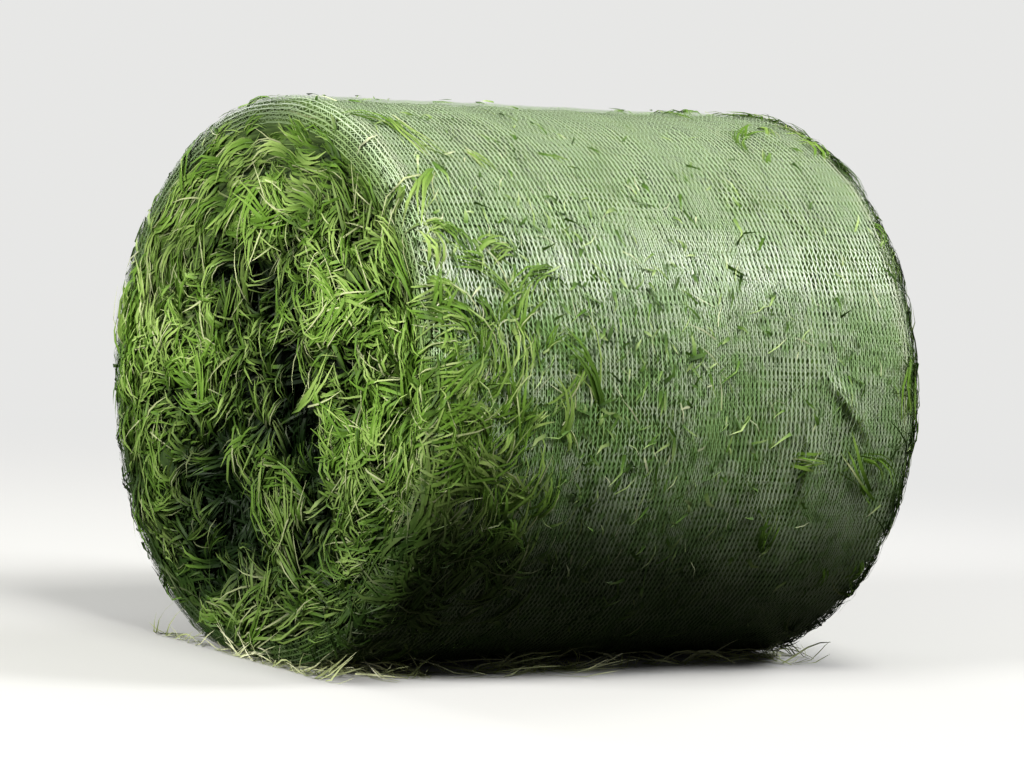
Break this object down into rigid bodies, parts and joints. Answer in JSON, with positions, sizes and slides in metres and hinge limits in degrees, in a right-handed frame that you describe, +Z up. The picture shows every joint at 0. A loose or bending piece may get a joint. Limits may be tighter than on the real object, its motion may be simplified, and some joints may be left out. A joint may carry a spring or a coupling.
{
  "type": "net-wrapped round bale",
  "caption": "Round bale of fresh green forage lying on its side: a spirally rolled mat on a folded, star-shaped core, held by a knitted net drawn over its shoulders.",
  "frame": {"origin": "on the ground, under the middle of the bale", "axes": "+X along the roll's axis towards its far end, +Z up from the ground, +Y to the side where the turns of the mat start"},
  "size_m": [1.2734, 1.15, 1.124],
  "materials": {
    "core_forage": "matt, damp, loosely packed green and yellow-green grass stems",
    "mat_forage": "matt, pressed green grass stems and blades, paler at their cut tips",
    "bale_net": "pale, slightly translucent knitted plastic net with a soft sheen"
  },
  "bodies": {
    "root": {"core_fold_1": "core_forage", "core_fold_2": "core_forage", "core_fold_3": "core_forage", "core_fold_4": "core_forage", "core_fold_5": "core_forage", "core_fold_6": "core_forage", "core_fold_7": "core_forage", "mat_start": "mat_forage", "mat_turn_1": "mat_forage", "mat_turn_2": "mat_forage", "mat_turn_3": "mat_forage", "mat_turn_4": "mat_forage", "mat_turn_5": "mat_forage", "mat_turn_6": "mat_forage", "mat_turn_7": "mat_forage", "mat_tail": "mat_forage", "net_turn_1": "bale_net", "net_turn_2": "bale_net", "net_tail": "bale_net"}
  },
  "joints": []
}
